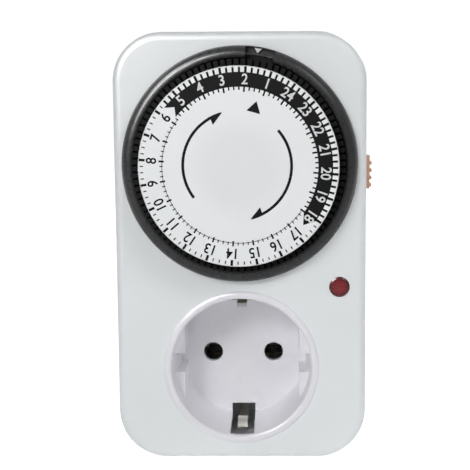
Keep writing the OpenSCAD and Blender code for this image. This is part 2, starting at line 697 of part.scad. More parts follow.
module override_slider() color("#c65a2e") {
    z0 = slider_z - knob_len / 2;
    ridge_pitch = 2.2;
    ridge_w = 1;
    ridge_h = 0.6;
    arm_w = 3;
    arm_gap = 0.9; // between the arm and the switch at the end of the travel
    ridges = floor((knob_len - 1) / ridge_pitch);
    box([slide_x0, knob_y - slide_w / 2, slot_z0 - slider_travel],
        [slide_x1, knob_y + slide_w / 2, slot_z1 - 0.2]);
    box([slide_x0, knob_y - arm_w / 2, slot_z1 - 1],
        [slide_x1, knob_y + arm_w / 2, ear_z0 - slider_travel - arm_gap]);
    box([slide_x1 - eps, knob_y - knob_w / 2, z0],
        [body_w / 2 + knob_out - ridge_h, knob_y + knob_w / 2, z0 + knob_len]);
    for (k = [0:ridges - 1]) let (z = z0 + 0.6 + k * ridge_pitch)
        box([body_w / 2 + knob_out - ridge_h - eps, knob_y - knob_w / 2, z],
            [body_w / 2 + knob_out, knob_y + knob_w / 2, z + ridge_w]);
}

// ---------------------------------------------------------------- indicator
module indicator_lens() color("#8c1f1c") on_front([lens_x, lens_z]) rotate_extrude() polygon([
    [0, -wall - 0.8], [lens_r + 0.8, -wall - 0.8], [lens_r + 0.8, -wall], [lens_r, -wall], [lens_r, 0.15],
    [lens_r - 0.5, 0.4], [lens_r / 2, 0.55], [0, 0.6]
]);
lamp_y = front_y + wall + 1.6;
lamp_len = 9;
module neon_lamp() color("#e8b9a0") {
    bar([lens_x, lens_z], 2, lamp_y, lamp_y + lamp_len);
    for (s = [-1, 1]) bar([lens_x + s * 0.8, lens_z], 0.25, lamp_y + lamp_len - eps, lamp_y + lamp_len + 2);
}
module neon_resistor() color("#c8a878") {
    c = [lens_x - 0.8, lens_z];
    y0 = lamp_y + lamp_len + 2;
    bar(c, 1.1, y0, y0 + 6);
    bar(c, 0.25, y0 + 6 - eps, y0 + 8);
}

// ---------------------------------------------------------------- socket
module socket_insert() color("#e6e4ea") difference() {
    past = cup_r + 5; // beyond the cup's wall
    crest_w = 0.9; // flat top of the rim
    on_front([0, 0]) rotate_extrude() polygon([
        [0, -recess_d - cup_floor_t], [cup_r, -recess_d - cup_floor_t], [cup_r, 0],
        for (a = [0:15:90]) [mouth_r + crest_w + (rim_w - crest_w) * cos(a), rim_h * sin(a)],
        [0, rim_h]
    ]);
    difference() {
        on_front([0, 0]) rotate_extrude() polygon([
            [0, -recess_d], [floor_r, -recess_d], [mouth_r, rim_h - 0.4], [mouth_r + 0.4, rim_h],
            [mouth_r + 0.4, rim_h + 1], [0, rim_h + 1]
        ]);
        for (s = [-1, 1]) difference() {
            box([s > 0 ? ledge_x : -past, front_y + ledge_drop, -past],
                [s > 0 ? past : -ledge_x, floor_y + 1, past]);
            box([s > 0 ? 0 : -past, front_y + ledge_drop - 1, -notch_w / 2],
                [s > 0 ? past : 0, floor_y + 2, notch_w / 2]);
        }
    }
    for (s = [-1, 1]) {
        bar([s * pin_x, 0], pin_hole_r, floor_y - 1, cup_back_y + 1);
        box([-earth_slot_w / 2, front_y + earth_slot_drop, s > 0 ? earth_slot_z : -past],
            [earth_slot_w / 2, cup_back_y + 1, s > 0 ? past : -earth_slot_z]);
    }
}

module leaf_pair(x) {
    for (s = [-1, 1]) box([x - leaf_w / 2, leaf_y0, s > 0 ? leaf_gap : -leaf_gap - strip_t],
        [x + leaf_w / 2, leaf_y1, s > 0 ? leaf_gap + strip_t : -leaf_gap]);
}
module live_contact() color("#c98b4a") {
    half = leaf_gap + strip_t;
    x0 = out_x - 1.5;
    x1 = out_x + 1.5;
    leaf_pair(pin_x);
    box([web_x, leaf_y0, -half], [web_x + strip_t + eps, leaf_y1, half]);
    box([web_x, out_y, half - strip_t], [web_x + strip_t, leaf_y0 + 3, half + 3.3]);
    box([web_x, out_y, half + 0.3], [web_x + 3.5, out_y + strip_t, out_turn_z + 3]);
    box([web_x, out_y, out_turn_z], [x1, out_y + strip_t, out_turn_z + 3]);
    box([x0, out_y, out_turn_z], [x1, out_y + strip_t, out_top_z + 2]);
    box([x0, blade_y - 0.8, out_top_z], [x1, out_y + strip_t, out_top_z + strip_t]);
    box([x0, blade_y - 0.8, out_top_z], [base_x1, blade_y + blade_t + 0.8, out_top_z + strip_t]);
    difference() {
        box([blade_root_x - 0.2, blade_y - 0.8, out_top_z],
            [base_x1, blade_y + blade_t + 0.8, nose_z + blade_w / 2 + 0.8]);
        box([blade_root_x - 1, blade_y - 0.25, nose_z - blade_w / 2 - turn_gap],
            [blade_root_x + 0.9, blade_y + blade_t + 0.25, nose_z + blade_w / 2 + turn_gap]);
    }
}
module neutral_contact() color("#c98b4a") {
    half = leaf_gap + strip_t;
    leaf_pair(-pin_x);
    box([-web_x - strip_t - eps, leaf_y0, -half], [-web_x, leaf_y1, half]);
    box([-web_x - strip_t, leaf_y1 - eps, -1.5], [-web_x, stud_tab_y + strip_t, 1.5]);
    difference() {
        box([-pin_x - stud_tab_w / 2, stud_tab_y, -stud_tab_w / 2],
            [-web_x, stud_tab_y + strip_t, stud_tab_w / 2]);
        bar([-pin_x, 0], stud_r + fit / 2, stud_tab_y - 1, stud_tab_y + 1);
    }
}

// The points of a strip's centre line, moved sideways by d
function beside(line, d) = [for (i = [0:len(line) - 1])
    let (way = unit(line[min(i + 1, len(line) - 1)] - line[max(i - 1, 0)])) line[i] + d * [way.y, -way.x]];
function reversed(list) = [for (i = [len(list) - 1:-1:0]) list[i]];
module earth_strap() color("#c9c4b4") {
    touch_y = earth_tip_y + earth_tip_len;
    leg_z = earth_clip_z + earth_t / 2;
    touch_z = earth_bump_z + earth_t / 2;
    line = [
        for (k = [0:6]) let (out = 1 - k / 6)
            [touch_z + earth_tip_out * out * out, touch_y - earth_tip_len * out],
        for (k = [1:8]) let (part = k / 8)
            [touch_z + (leg_z - touch_z) * (1 - cos(180 * part)) / 2, touch_y + earth_bend_len * part],
        [leg_z, earth_back_y + earth_t]
    ];
    translate([0, 0, -earth_low]) {
        box([-earth_w / 2, earth_back_y, -leg_z - earth_t / 2],
            [earth_w / 2, earth_back_y + earth_t, leg_z + earth_t / 2]);
        for (s = [0, 1]) mirror([0, 0, s]) translate([earth_w / 2, 0, 0]) rotate([0, -90, 0])
            linear_extrude(earth_w)
                polygon(concat(beside(line, earth_t / 2), reversed(beside(line, -earth_t / 2))));
    }
}

module plug_earth_contact() color("#c9c4b4") {
    w = 2;
    y_bridge = rear_y + 2.4;
    for (s = [0, 1]) mirror([0, 0, s])
        box([-w, y_bridge, earth_side_z + 0.05], [w, -2, earth_side_z + 0.05 + earth_t]);
    box([-w, y_bridge, -earth_side_z - 0.1], [w, y_bridge + earth_t, earth_side_z + 0.1]);
    bar([0, 0], 1.2, earth_back_y + earth_t, y_bridge + eps);
}

module plug_pins() color("silver") for (s = [-1, 1])
    translate([s * pin_x, 0, 0]) rotate([-90, 0, 0]) rotate_extrude() polygon([
        [0, stud_tab_y - 0.3], [stud_r, stud_tab_y - 0.3], [stud_r, stud_tab_y + strip_t + fit],
        [pin_r + 1.3, stud_tab_y + strip_t + fit], [pin_r + 1.3, -plug_face_t],
        [pin_neck_r, -plug_face_t], [pin_neck_r, pin_neck_top], [pin_r, pin_neck_top],
        [pin_r, pin_len - 1.2], [pin_r - 0.4, pin_len - 0.4], [pin_r - 1.2, pin_len], [0, pin_len]
    ]);

front_cover();
rear_cover();
housing_screws();
bezel_ring();
time_marker();
dial_plate();
dial_wheel();
dial_gear();
dial_axle();
tappets(1);  // tappets_h01
tappets(2);  // tappets_h02
tappets(3);  // tappets_h03
tappets(4);  // tappets_h04
tappets(5);  // tappets_h05
tappets(6);  // tappets_h06
tappets(7);  // tappets_h07
tappets(8);  // tappets_h08
tappets(9);  // tappets_h09
tappets(10);  // tappets_h10
tappets(11);  // tappets_h11
tappets(12);  // tappets_h12
tappets(13);  // tappets_h13
tappets(14);  // tappets_h14
tappets(15);  // tappets_h15
tappets(16);  // tappets_h16
tappets(17);  // tappets_h17
tappets(18);  // tappets_h18
tappets(19);  // tappets_h19
tappets(20);  // tappets_h20
tappets(21);  // tappets_h21
tappets(22);  // tappets_h22
tappets(23);  // tappets_h23
tappets(24);  // tappets_h24
front_plate();
back_plate();
movement_screws();
motor_housing();
motor_coil();
motor_rotor();
motor_leads();
gear_1();
gear_2();
gear_3();
clutch_wheel();
clutch_pinion();
switch_base();
trip_lever();
trip_pin();
moving_blade();
fixed_blade();
override_slider();
indicator_lens();
neon_lamp();
neon_resistor();
socket_insert();
live_contact();
neutral_contact();
earth_strap();
plug_earth_contact();
plug_pins();
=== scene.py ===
"""Plug-in timer switch: finishes, printed dial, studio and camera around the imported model.

The CAD frame holds every solid piece. This script gives each piece its finish, adds the ink of the
dial's scale, and sets up the floor, the lamps and the camera.
"""

import json
import logging
import math
from dataclasses import dataclass, field
from enum import Enum
from typing import Any, ClassVar, Mapping, Optional, Sequence, Union

import bmesh
import bpy
from mathutils import Matrix, Vector

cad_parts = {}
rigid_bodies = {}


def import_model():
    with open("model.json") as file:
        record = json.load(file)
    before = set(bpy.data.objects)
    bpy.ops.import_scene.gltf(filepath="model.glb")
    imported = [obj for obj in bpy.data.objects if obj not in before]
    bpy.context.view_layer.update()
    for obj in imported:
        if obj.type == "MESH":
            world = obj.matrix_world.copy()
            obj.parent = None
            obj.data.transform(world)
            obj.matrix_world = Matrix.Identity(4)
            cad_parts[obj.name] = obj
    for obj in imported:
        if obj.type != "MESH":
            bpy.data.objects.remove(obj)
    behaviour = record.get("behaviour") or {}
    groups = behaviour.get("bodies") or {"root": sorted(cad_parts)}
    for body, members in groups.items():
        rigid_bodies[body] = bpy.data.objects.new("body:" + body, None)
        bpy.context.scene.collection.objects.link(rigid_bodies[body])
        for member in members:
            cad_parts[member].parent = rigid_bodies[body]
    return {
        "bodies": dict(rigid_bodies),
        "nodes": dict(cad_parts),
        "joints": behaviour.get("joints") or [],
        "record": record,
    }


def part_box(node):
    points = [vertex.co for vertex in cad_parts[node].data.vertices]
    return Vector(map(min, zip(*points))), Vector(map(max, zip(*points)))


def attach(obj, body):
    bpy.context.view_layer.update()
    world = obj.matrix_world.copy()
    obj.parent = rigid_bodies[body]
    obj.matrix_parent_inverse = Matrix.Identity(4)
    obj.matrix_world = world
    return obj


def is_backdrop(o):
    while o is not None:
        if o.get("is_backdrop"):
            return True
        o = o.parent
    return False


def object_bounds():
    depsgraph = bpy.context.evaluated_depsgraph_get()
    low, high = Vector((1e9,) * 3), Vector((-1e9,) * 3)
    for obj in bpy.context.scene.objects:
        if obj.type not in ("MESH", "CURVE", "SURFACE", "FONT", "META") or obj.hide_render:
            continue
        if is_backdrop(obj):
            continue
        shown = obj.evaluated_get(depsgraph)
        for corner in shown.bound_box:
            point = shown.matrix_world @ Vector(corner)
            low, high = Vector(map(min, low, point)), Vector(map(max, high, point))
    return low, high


LOG = logging.getLogger("timer_switch")
MM = 0.001

Colour = tuple[float, float, float]
Place = tuple[float, float, float]

BLACK: Colour = (0.0, 0.0, 0.0)
WHITE: Colour = (1.0, 1.0, 1.0)


# ---------------------------------------------------------------------------------------- shaders
class Signal:
    """An output socket that takes part in Python arithmetic.

    Every operator adds one Math node to the sheet that the socket belongs to.
    """

    def __init__(self, sheet: "Sheet", socket: bpy.types.NodeSocket) -> None:
        """Wraps a socket of a sheet."""
        self.sheet = sheet
        self.socket = socket

    def _math(self, operation: str, first: "Operand", second: "Operand" = 0.0) -> "Signal":
        """Adds a Math node.

        Args:
            operation: The Math node's operation.
            first: Its first value.
            second: Its second value, if the operation takes one.

        Returns:
            The node's result.
        """
        return self.sheet.node("ShaderNodeMath", {"operation": operation}, {0: first, 1: second})

    def __add__(self, other: "Operand") -> "Signal":
        """Sum."""
        return self._math("ADD", self, other)

    __radd__ = __add__

    def __sub__(self, other: "Operand") -> "Signal":
        """Difference."""
        return self._math("SUBTRACT", self, other)

    def __rsub__(self, other: "Operand") -> "Signal":
        """Difference from a number."""
        return self._math("SUBTRACT", other, self)

    def __mul__(self, other: "Operand") -> "Signal":
        """Product."""
        return self._math("MULTIPLY", self, other)

    __rmul__ = __mul__

    def __truediv__(self, other: "Operand") -> "Signal":
        """Quotient."""
        return self._math("DIVIDE", self, other)

    def __pow__(self, other: "Operand") -> "Signal":
        """Power."""
        return self._math("POWER", self, other)

    def __abs__(self) -> "Signal":
        """Size without the sign."""
        return self._math("ABSOLUTE", self)

    def larger(self, other: "Operand") -> "Signal":
        """The larger of the two values."""
        return self._math("MAXIMUM", self, other)

    def step(self, start: float, end: float, low: float = 0.0, high: float = 1.0) -> "Signal":
        """Goes smoothly from low to high as the value goes from start to end.

        Args:
            start: Value at which the result leaves low.
            end: Value at which the result reaches high.
            low: Result before start.
            high: Result after end.

        Returns:
            The eased value.
        """
        return self.sheet.node(
            "ShaderNodeMapRange",
            {"interpolation_type": "SMOOTHSTEP"},
            {"Value": self, "From Min": start, "From Max": end, "To Min": low, "To Max": high},
        )


Operand = Union[Signal, float]
Input = Union[Signal, float, Sequence[float]]


class Sheet:
    """The node tree of one material or world while it is written."""

    def __init__(self, owner: Union[bpy.types.Material, bpy.types.World]) -> None:
        """Empties the owner's node tree and starts writing it."""
        owner.use_nodes = True
        self.tree = owner.node_tree
        self.tree.nodes.clear()

    def node(
        self,
        kind: str,
        settings: Optional[Mapping[str, Any]] = None,
        inputs: Optional[Mapping[Union[int, str], Input]] = None,
        output: Union[int, str] = 0,
    ) -> Signal:
        """Adds a node of any kind.

        Args:
            kind: The node's type.
            settings: Properties, set first.
            inputs: Values or signals by socket name or number.
            output: Name or number of the output to return.

        Returns:
            The chosen output.
        """
        made = self.tree.nodes.new(kind)
        for name, value in (settings or {}).items():
            setattr(made, name, value)
        for name, value in (inputs or {}).items():
            socket = made.inputs[name]
            if isinstance(value, Signal):
                self.tree.links.new(value.socket, socket)
            elif isinstance(value, (int, float)):
                socket.default_value = value
            else:
                socket.default_value = (*value, 1.0) if len(socket.default_value) > len(value) else value
        return Signal(self, made.outputs[output] if made.outputs else None)

    def looked_at(self) -> Signal:
        """1 where the camera looks at the surface, straight or by way of gloss or glass, else 0."""
        seen = self.node("ShaderNodeLightPath", output="Is Camera Ray")
        ways = seen.socket.node.outputs
        for way in ("Is Glossy Ray", "Is Transmission Ray"):
            seen = seen.larger(Signal(self, ways[way]))
        return seen

    def place(self) -> Signal:
        """The point's place in the object's own frame, in metres."""
        return self.node("ShaderNodeTexCoord", output="Object")

    def split(self, vector: Signal) -> tuple[Signal, Signal, Signal]:
        """Splits a vector.

        Args:
            vector: The vector.

        Returns:
            Its x, y and z.
        """
        first = self.node("ShaderNodeSeparateXYZ", inputs={0: vector})
        outputs = first.socket.node.outputs
        return first, Signal(self, outputs[1]), Signal(self, outputs[2])

    def off_axis(self, vector: Signal, centre: Vector) -> tuple[Signal, Signal]:
        """How far a point lies beside and above an axis that runs along y.

        Args:
            vector: The point's place.
            centre: A point of the axis.

        Returns:
            The distance to the right and the distance upward.
        """
        x, _, z = self.split(vector)
        return x - centre.x, z - centre.z

    def from_axis(self, vector: Signal, centre: Vector, radius: float) -> Signal:
        """Distance from an axis that runs along y, as a share of a radius.

        Args:
            vector: The point's place.
            centre: A point of the axis.
            radius: Distance at which the result is 1.

        Returns:
            The distance.
        """
        aside, rise = self.off_axis(vector, centre)
        return (aside * aside + rise * rise) ** 0.5 / radius

    def stretch(self, vector: Signal, scale: Sequence[float]) -> Signal:
        """A vector with each part scaled by its own number."""
        return self.node("ShaderNodeVectorMath", {"operation": "MULTIPLY"}, {0: vector, 1: scale})

    def noise(self, vector: Signal, size: float, detail: float = 3.0, rough: float = 0.55) -> Signal:
        """Cloudy noise from 0 to 1.

        Args:
            vector: Where it is read, in metres.
            size: Size of its largest blobs, in metres.
            detail: How many finer layers it has.
            rough: How strong the finer layers are.

        Returns:
            The noise.
        """
        inputs = {"Vector": vector, "Scale": 1 / size, "Detail": detail, "Roughness": rough}
        return self.node("ShaderNodeTexNoise", inputs=inputs)

    def cells(self, vector: Signal, size: float) -> Signal:
        """Distance to the nearest of many scattered points, from 0."""
        return self.node("ShaderNodeTexVoronoi", inputs={"Vector": vector, "Scale": 1 / size})

    def blend(self, factor: Operand, first: Input, second: Input) -> Signal:
        """A colour between two colours.

        Args:
            factor: 0 for the first, 1 for the second.
            first: The first colour.
            second: The second colour.

        Returns:
            The colour.
        """
        return self.node(
            "ShaderNodeMix", {"data_type": "RGBA"}, {0: factor, 6: first, 7: second}, output=2
        )

    def bump(self, height: Signal, depth: float, below: Optional[Signal] = None) -> Signal:
        """A normal that follows a height.

        Args:
            height: The height, from 0 to 1.
            depth: What a height of 1 measures, in metres.
            below: A normal that this one is laid over.

        Returns:
            The normal.
        """
        inputs: dict[Union[int, str], Input] = {"Height": height, "Distance": depth, "Strength": 1.0}
        if below is not None:
            inputs["Normal"] = below
        return self.node("ShaderNodeBump", inputs=inputs)

    def surface(self, inputs: Mapping[Union[int, str], Input]) -> None:
        """Ends a material with a Principled shader.

        Args:
            inputs: The shader's values and signals.
        """
        shader = self.node("ShaderNodeBsdfPrincipled", inputs=inputs)
        self.node("ShaderNodeOutputMaterial", inputs={"Surface": shader})


class Grain(Enum):
    """How a surface was made, which decides its fine texture."""

    SPARK = "moulded in an eroded tool"
    POLISHED = "moulded in a polished tool"
    BRUSHED = "drawn or rolled metal"
    TURNED = "turned metal"
    WOUND = "wound wire"
    INK = "printed ink"
    FACETED = "clear plastic with prisms inside"


@dataclass(frozen=True)
class Finish:
    """One surface finish of the object.

    Attributes:
        slot: The record's material slot.
        colour: Base colour, linear.
        grain: How the surface was made.
        roughness: Mean roughness.
        texture: Size of the fine texture, in mm.
        depth: Depth of the fine texture, in mm.
        mottle: How much the colour varies.
        metallic: 1 for bare metal.
        coat: Weight of a clear glossy layer.
        soil: How much dirt or tarnish gathers in patches.
        soil_colour: Colour of that dirt or tarnish.
        swing: How much the fine texture changes the roughness.
        scuffing: How much rougher the scuffed patches are.
        extra: Further constant sockets of the shader.
        ALONG_Z: Stretch of a texture that is drawn out along z.
        ROUND_Y: Stretch of a texture that runs round the y axis.
        MOTTLE_SIZE: Size of the mottle's blobs, in metres.
        SOIL_SIZE: Size of the soiled patches.
        SCUFF_SIZE: Size of the scuffed patches.
    """

    slot: str
    colour: Colour
    grain: Grain
    roughness: float = 0.45
    texture: float = 0.35
    depth: float = 0.006
    mottle: float = 0.04
    metallic: float = 0.0
    coat: float = 0.0
    soil: float = 0.0
    soil_colour: Colour = (0.3, 0.27, 0.22)
    swing: float = 0.12
    scuffing: float = 0.1
    extra: Mapping[str, Input] = field(default_factory=dict)
    ALONG_Z: ClassVar[Place] = (1.0, 1.0, 0.06)
    ROUND_Y: ClassVar[Place] = (0.05, 1.0, 0.05)
    MOTTLE_SIZE: ClassVar[float] = 9 * MM
    SOIL_SIZE: ClassVar[float] = 4 * MM
    SCUFF_SIZE: ClassVar[float] = 2.5 * MM

    def relief(self, sheet: Sheet, place: Signal) -> Signal:
        """The fine texture as a height.

        Args:
            sheet: The sheet that is written.
            place: The point's place.

        Returns:
            A height from 0 to 1.
        """
        size = self.texture * MM
        if self.grain is Grain.SPARK:
            return sheet.noise(place, size, detail=4.0, rough=0.65)
        if self.grain is Grain.BRUSHED:
            return sheet.noise(sheet.stretch(place, self.ALONG_Z), size, detail=4.0, rough=0.7)
        if self.grain is Grain.TURNED:
            return sheet.noise(sheet.stretch(place, self.ROUND_Y), size, detail=2.0)
        if self.grain is Grain.WOUND:
            return sheet.node(
                "ShaderNodeTexWave",
                {"bands_direction": "Y", "wave_profile": "SIN"},
                {"Vector": place, "Scale": 0.3 / size, "Distortion": 0.6, "Detail": 1.0},
                output="Fac",
            )
        if self.grain is Grain.FACETED:
            return sheet.cells(place, size)
        return sheet.noise(place, size * 6, detail=2.0, rough=0.4)

    def tint(self, sheet: Sheet, place: Signal) -> Signal:
        """The base colour, with its slight mottle and its soiling.

        Args:
            sheet: The sheet that is written.
            place: The point's place.

        Returns:
            The colour.
        """
        pale = tuple(min(1.0, part * (1 + self.mottle)) for part in self.colour)
        deep = self.scaled(1 - self.mottle)
        colour = sheet.blend(sheet.noise(place, self.MOTTLE_SIZE), deep, pale)
        if not self.soil:
            return colour
        patches = sheet.noise(place, self.SOIL_SIZE, detail=5.0, rough=0.6).step(0.5, 0.75)
        return sheet.blend(patches * self.soil, colour, self.soil_colour)

    def scuffs(self, sheet: Sheet, place: Signal) -> Signal:
        """How much rougher handling has made a point.

        Args:
            sheet: The sheet that is written.
            place: The point's place.

        Returns:
            What the roughness gains.
        """
        return sheet.noise(place, self.SCUFF_SIZE, detail=5.0, rough=0.7).step(0.42, 0.72) * self.scuffing

    def rough(self, relief: Signal, dulling: Signal) -> Signal:
        """The roughness, which follows the fine texture.

        Args:
            relief: The fine texture's height.
            dulling: What wear, dust or gloss adds.

        Returns:
            The roughness.
        """
        return (relief - 0.5) * self.swing + (dulling + self.roughness)

    def scaled(self, share: float) -> Colour:
        """The base colour times a number."""
        return tuple(part * share for part in self.colour)

    def build(self) -> bpy.types.Material:
        """Makes the material.

        Returns:
            The material, with the slot's name.
        """
        material = bpy.data.materials.new(self.slot)
        sheet = Sheet(material)
        place = sheet.place()
        relief = self.relief(sheet, place)
        sheet.surface(
            {
                "Base Color": self.tint(sheet, place),
                "Roughness": self.rough(relief, self.scuffs(sheet, place)),
                "Metallic": self.metallic,
                "Coat Weight": self.coat,
                "Coat Roughness": 0.08,
                "Normal": sheet.bump(relief, self.depth * MM),
                **self.extra,
            }
        )
        return material


@dataclass(frozen=True, kw_only=True)
class HousingFinish(Finish):
    """The pale plastic of both covers, with rubbed edges, and painted shade that darkens the seam where they
    meet.

    Attributes:
        half_width: From the middle to the side, in metres.
        low_z: Height of the lower edge.
        high_z: Height of the upper edge.
        seam_y: Plane in which the covers meet.
        front_y: Foremost plane of the front cover, 0.25 mm before its flat face.
        corner_r: Radius of the corners.
        rub_in: How far the rubbed edge reaches into the front face.
        rub_back: How far it reaches down the sides.
        seam_in: How deep the seam reaches below the surface.
        seam_half: Half the seam's width.
        seam_depth: Depth of the seam's relief.
        seam_colour: Colour of the painted shade in the seam.
        wave_size: Length of the slow waves that moulding leaves.
        wave_depth: Depth of those waves.
    """

    half_width: float
    low_z: float
    high_z: float
    seam_y: float
    front_y: float
    corner_r: float = 14.5 * MM
    rub_in: float = 2.2 * MM
    rub_back: float = 4.0 * MM
    seam_in: float = 1.2 * MM
    seam_half: float = 0.22 * MM
    seam_depth: float = 0.12 * MM
    seam_colour: Colour = (0.08, 0.08, 0.085)
    wave_size: float = 28 * MM
    wave_depth: float = 0.12 * MM

    def _inset(self, sheet: Sheet, place: Signal) -> tuple[Signal, Signal]:
        """How far a point lies inside the outline seen from the front, and its y.

        Args:
            sheet: The sheet that is written.
            place: The point's place.

        Returns:
            The inset in metres and the y.
        """
        x, y, z = sheet.split(place)
        half_height = (self.high_z - self.low_z) / 2
        over_x = (abs(x) - (self.half_width - self.corner_r)).larger(0.0)
        over_z = (abs(z - (self.low_z + half_height)) - (half_height - self.corner_r)).larger(0.0)
        return self.corner_r - (over_x * over_x + over_z * over_z) ** 0.5, y

    def build(self) -> bpy.types.Material:
        """Makes the material.

        Returns:
            The material, with the slot's name.
        """
        material = bpy.data.materials.new(self.slot)
        sheet = Sheet(material)
        place = sheet.place()
        inset, depth_y = self._inset(sheet, place)
        relief = self.relief(sheet, place)
        edge = inset.step(self.rub_in, 0.4 * MM)
        edge = edge * depth_y.step(self.front_y + self.rub_back, self.front_y + 1.5 * MM)
        rub = edge * sheet.noise(place, 3 * MM, detail=4.0).step(0.35, 0.7)
        seam = abs(depth_y - self.seam_y).step(self.seam_half, 0.06 * MM)
        seam = seam * inset.step(self.seam_in, 0.6 * MM)
        colour = sheet.blend(rub, self.tint(sheet, place), self.scaled(0.93))
        # Painted shade: the seam between the covers is coloured dark, as the shade in its gap would be.
        colour = sheet.blend(seam * 0.85, colour, self.seam_colour)
        waves = sheet.noise(place, self.wave_size, detail=1.0)
        normal = sheet.bump(waves, self.wave_depth)
        normal = sheet.bump(relief, self.depth * MM, normal)
        normal = sheet.bump(1 - seam, self.seam_depth, normal)
        sheet.surface(
            {
                "Base Color": colour,
                "Roughness": self.rough(relief, rub * -0.12),
                "Normal": normal,
                **self.extra,
            }
        )
        return material


@dataclass(frozen=True, kw_only=True)
class DialFinish(Finish):
    """The white face of the dial: satin, with painted shade that makes its middle a little greyer, dusty at
    its rim.

    Attributes:
        centre: Centre of the dial.
        radius: Radius of the face, in metres.
        dish: Where the painted shade of the middle starts to fade and where it has faded out, as shares of
            the radius.
        dusty_from: Where the dusty rim starts, as a share of the radius.
    """

    centre: Vector
    radius: float
    dish: tuple[float, float] = (0.25, 0.6)
    dusty_from: float = 0.97

    def build(self) -> bpy.types.Material:
        """Makes the material.

        Returns:
            The material, with the slot's name.
        """
        material = bpy.data.materials.new(self.slot)
        sheet = Sheet(material)
        place = sheet.place()
        out = sheet.from_axis(place, self.centre, self.radius)
        # Painted shade: the middle of the face is blended to a greyer copy of its colour.
        colour = sheet.blend(out.step(*self.dish), self.scaled(0.93), self.tint(sheet, place))
        dust = out.step(self.dusty_from, 1.0) * sheet.noise(place, 1.2 * MM, detail=4.0).step(0.4, 0.7)
        colour = sheet.blend(dust * 0.35, colour, self.soil_colour)
        relief = self.relief(sheet, place)
        sheet.surface(
            {
                "Base Color": colour,
                "Roughness": self.rough(relief, dust * 0.2),
                "Normal": sheet.bump(relief, self.depth * MM),
                **self.extra,
            }
        )
        return material


@dataclass(frozen=True, kw_only=True)
class BezelFinish(Finish):
    """The black plastic of the bezel, dull and dark inside the window of the time mark.

    Attributes:
        centre: Centre of the dial.
        window_angle: Angle of the window's middle, clockwise from the top, in degrees.
        window_span: Angle that the window covers.
        window_fade: How soon the sector's sides fade, as a slope.
    """

    centre: Vector
    window_angle: float = 10.7
    window_span: float = 14.8
    window_fade: float = 0.004

    def window(self, sheet: Sheet, place: Signal) -> Signal:
        """1 inside the window's sector of the ring, else 0.

        Args:
            sheet: The sheet that is written.
            place: The point's place.

        Returns:
            The mask.
        """
        aside, rise = sheet.off_axis(place, self.centre)
        turn = math.radians(self.window_angle)
        across = abs(aside * math.cos(turn) - rise * math.sin(turn))
        along = aside * math.sin(turn) + rise * math.cos(turn)
        half = math.tan(math.radians(self.window_span / 2))
        return (across / along).step(half, half - self.window_fade) * along.step(0.0, 1 * MM)

    def build(self) -> bpy.types.Material:
        """Makes the material.

        Returns:
            The material, with the slot's name.
        """
        material = bpy.data.materials.new(self.slot)
        sheet = Sheet(material)
        place = sheet.place()
        window = self.window(sheet, place)
        relief = self.relief(sheet, place)
        dulling = self.scuffs(sheet, place) + window * 0.5
        sheet.surface(
            {
                "Base Color": sheet.blend(window, self.tint(sheet, place), self.scaled(0.2)),
                "Roughness": self.rough(relief, dulling),
                "Normal": sheet.bump(relief, self.depth * MM),
                **self.extra,
            }
        )
        return material


@dataclass(frozen=True, kw_only=True)
class LensFinish(Finish):
    """The clear red plastic of the lens over moulded prisms, with painted shade that darkens it towards its
    rim.

    Attributes:
        centre: Centre of the lens.
        radius: Its radius, in metres.
    """

    centre: Vector
    radius: float

    def tint(self, sheet: Sheet, place: Signal) -> Signal:
        """The base colour, with painted shade that darkens it towards the rim.

        Args:
            sheet: The sheet that is written.
            place: The point's place.

        Returns:
            The colour.
        """
        out = sheet.from_axis(place, self.centre, self.radius)
        prisms = sheet.cells(place, self.texture * MM)
        # Painted shade: the colour falls to 30 % of itself towards the rim, broken up by the prisms.
        return sheet.blend((out + prisms * 0.35).step(0.45, 1.0), self.colour, self.scaled(0.3))


class Finishes:
    """All finishes of the object, built once each and found by slot."""

    def __init__(self, recipes: Sequence[Finish]) -> None:
        """Builds a material for every recipe."""
        self.materials = {recipe.slot: recipe.build() for recipe in recipes}

    def dress(self, piece: bpy.types.Object, slot: str) -> None:
        """Gives a piece one finish all over.

        Args:
            piece: A CAD node or a new piece.
            slot: The finish's slot.
        """
        piece.data.materials.clear()
        piece.data.materials.append(self.materials[slot])


# ---------------------------------------------------------------------------------------- meshes
@dataclass(frozen=True)
class Outline:
    """A flat closed outline in the plane of the dial, in mm.

    Attributes:
        points: Corners in order, x to the right and y up.
    """

    points: list[tuple[float, float]]

    def moved(self, shift: tuple[float, float]) -> "Outline":
        """The same outline at another place."""
        return Outline([(x + shift[0], y + shift[1]) for x, y in self.points])


def on_clock(radius: float, angle: float) -> tuple[float, float]:
    """A point at an angle clockwise from the top.

    Args:
        radius: Distance from the centre.
        angle: Angle in degrees.

    Returns:
        x to the right and y up.
    """
    turn = math.radians(angle)
    return radius * math.sin(turn), radius * math.cos(turn)


def sweep(start: float, end: float, pitch: float = 1.5) -> list[float]:
    """Even angles from start to end, no further apart than the pitch.

    Args:
        start: First angle in degrees.
        end: Last angle in degrees.
        pitch: Largest step in degrees.

    Returns:
        The angles.
    """
    count = max(1, math.ceil(abs(end - start) / pitch))
    return [start + (end - start) * step / count for step in range(count + 1)]


def band(inner: float, outer: float, start: float, end: float) -> Outline:
    """A stretch of a ring.

    Args:
        inner: Inner radius.
        outer: Outer radius.
        start: First angle, clockwise from the top.
        end: Last angle.

    Returns:
        Its outline.
    """
    angles = sweep(start, end)
    return Outline(
        [on_clock(outer, angle) for angle in angles]
        + [on_clock(inner, angle) for angle in reversed(angles)]
    )


